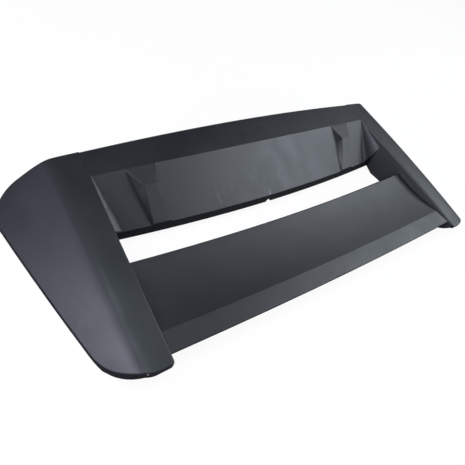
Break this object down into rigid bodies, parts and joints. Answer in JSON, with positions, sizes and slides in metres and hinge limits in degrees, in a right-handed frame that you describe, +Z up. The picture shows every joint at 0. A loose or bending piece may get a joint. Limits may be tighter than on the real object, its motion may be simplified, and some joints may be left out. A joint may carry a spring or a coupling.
{
  "type": "tailgate spoiler",
  "caption": "Moulded tailgate spoiler: end pods with sloping skins carry a raised wing behind a ridged base panel, with an open air slot between.",
  "frame": {"origin": "middle of the part in plan, on the plane of the pods' rims", "axes": "+X across the car, +Y towards the roof, +Z up"},
  "size_m": [1.17, 0.415, 0.1049],
  "materials": {
    "satin_plastic": "satin",
    "insert_brass": "turned"
  },
  "bodies": {
    "root": {"spoiler_body": "satin_plastic", "threaded_inserts": "insert_brass"}
  },
  "joints": []
}
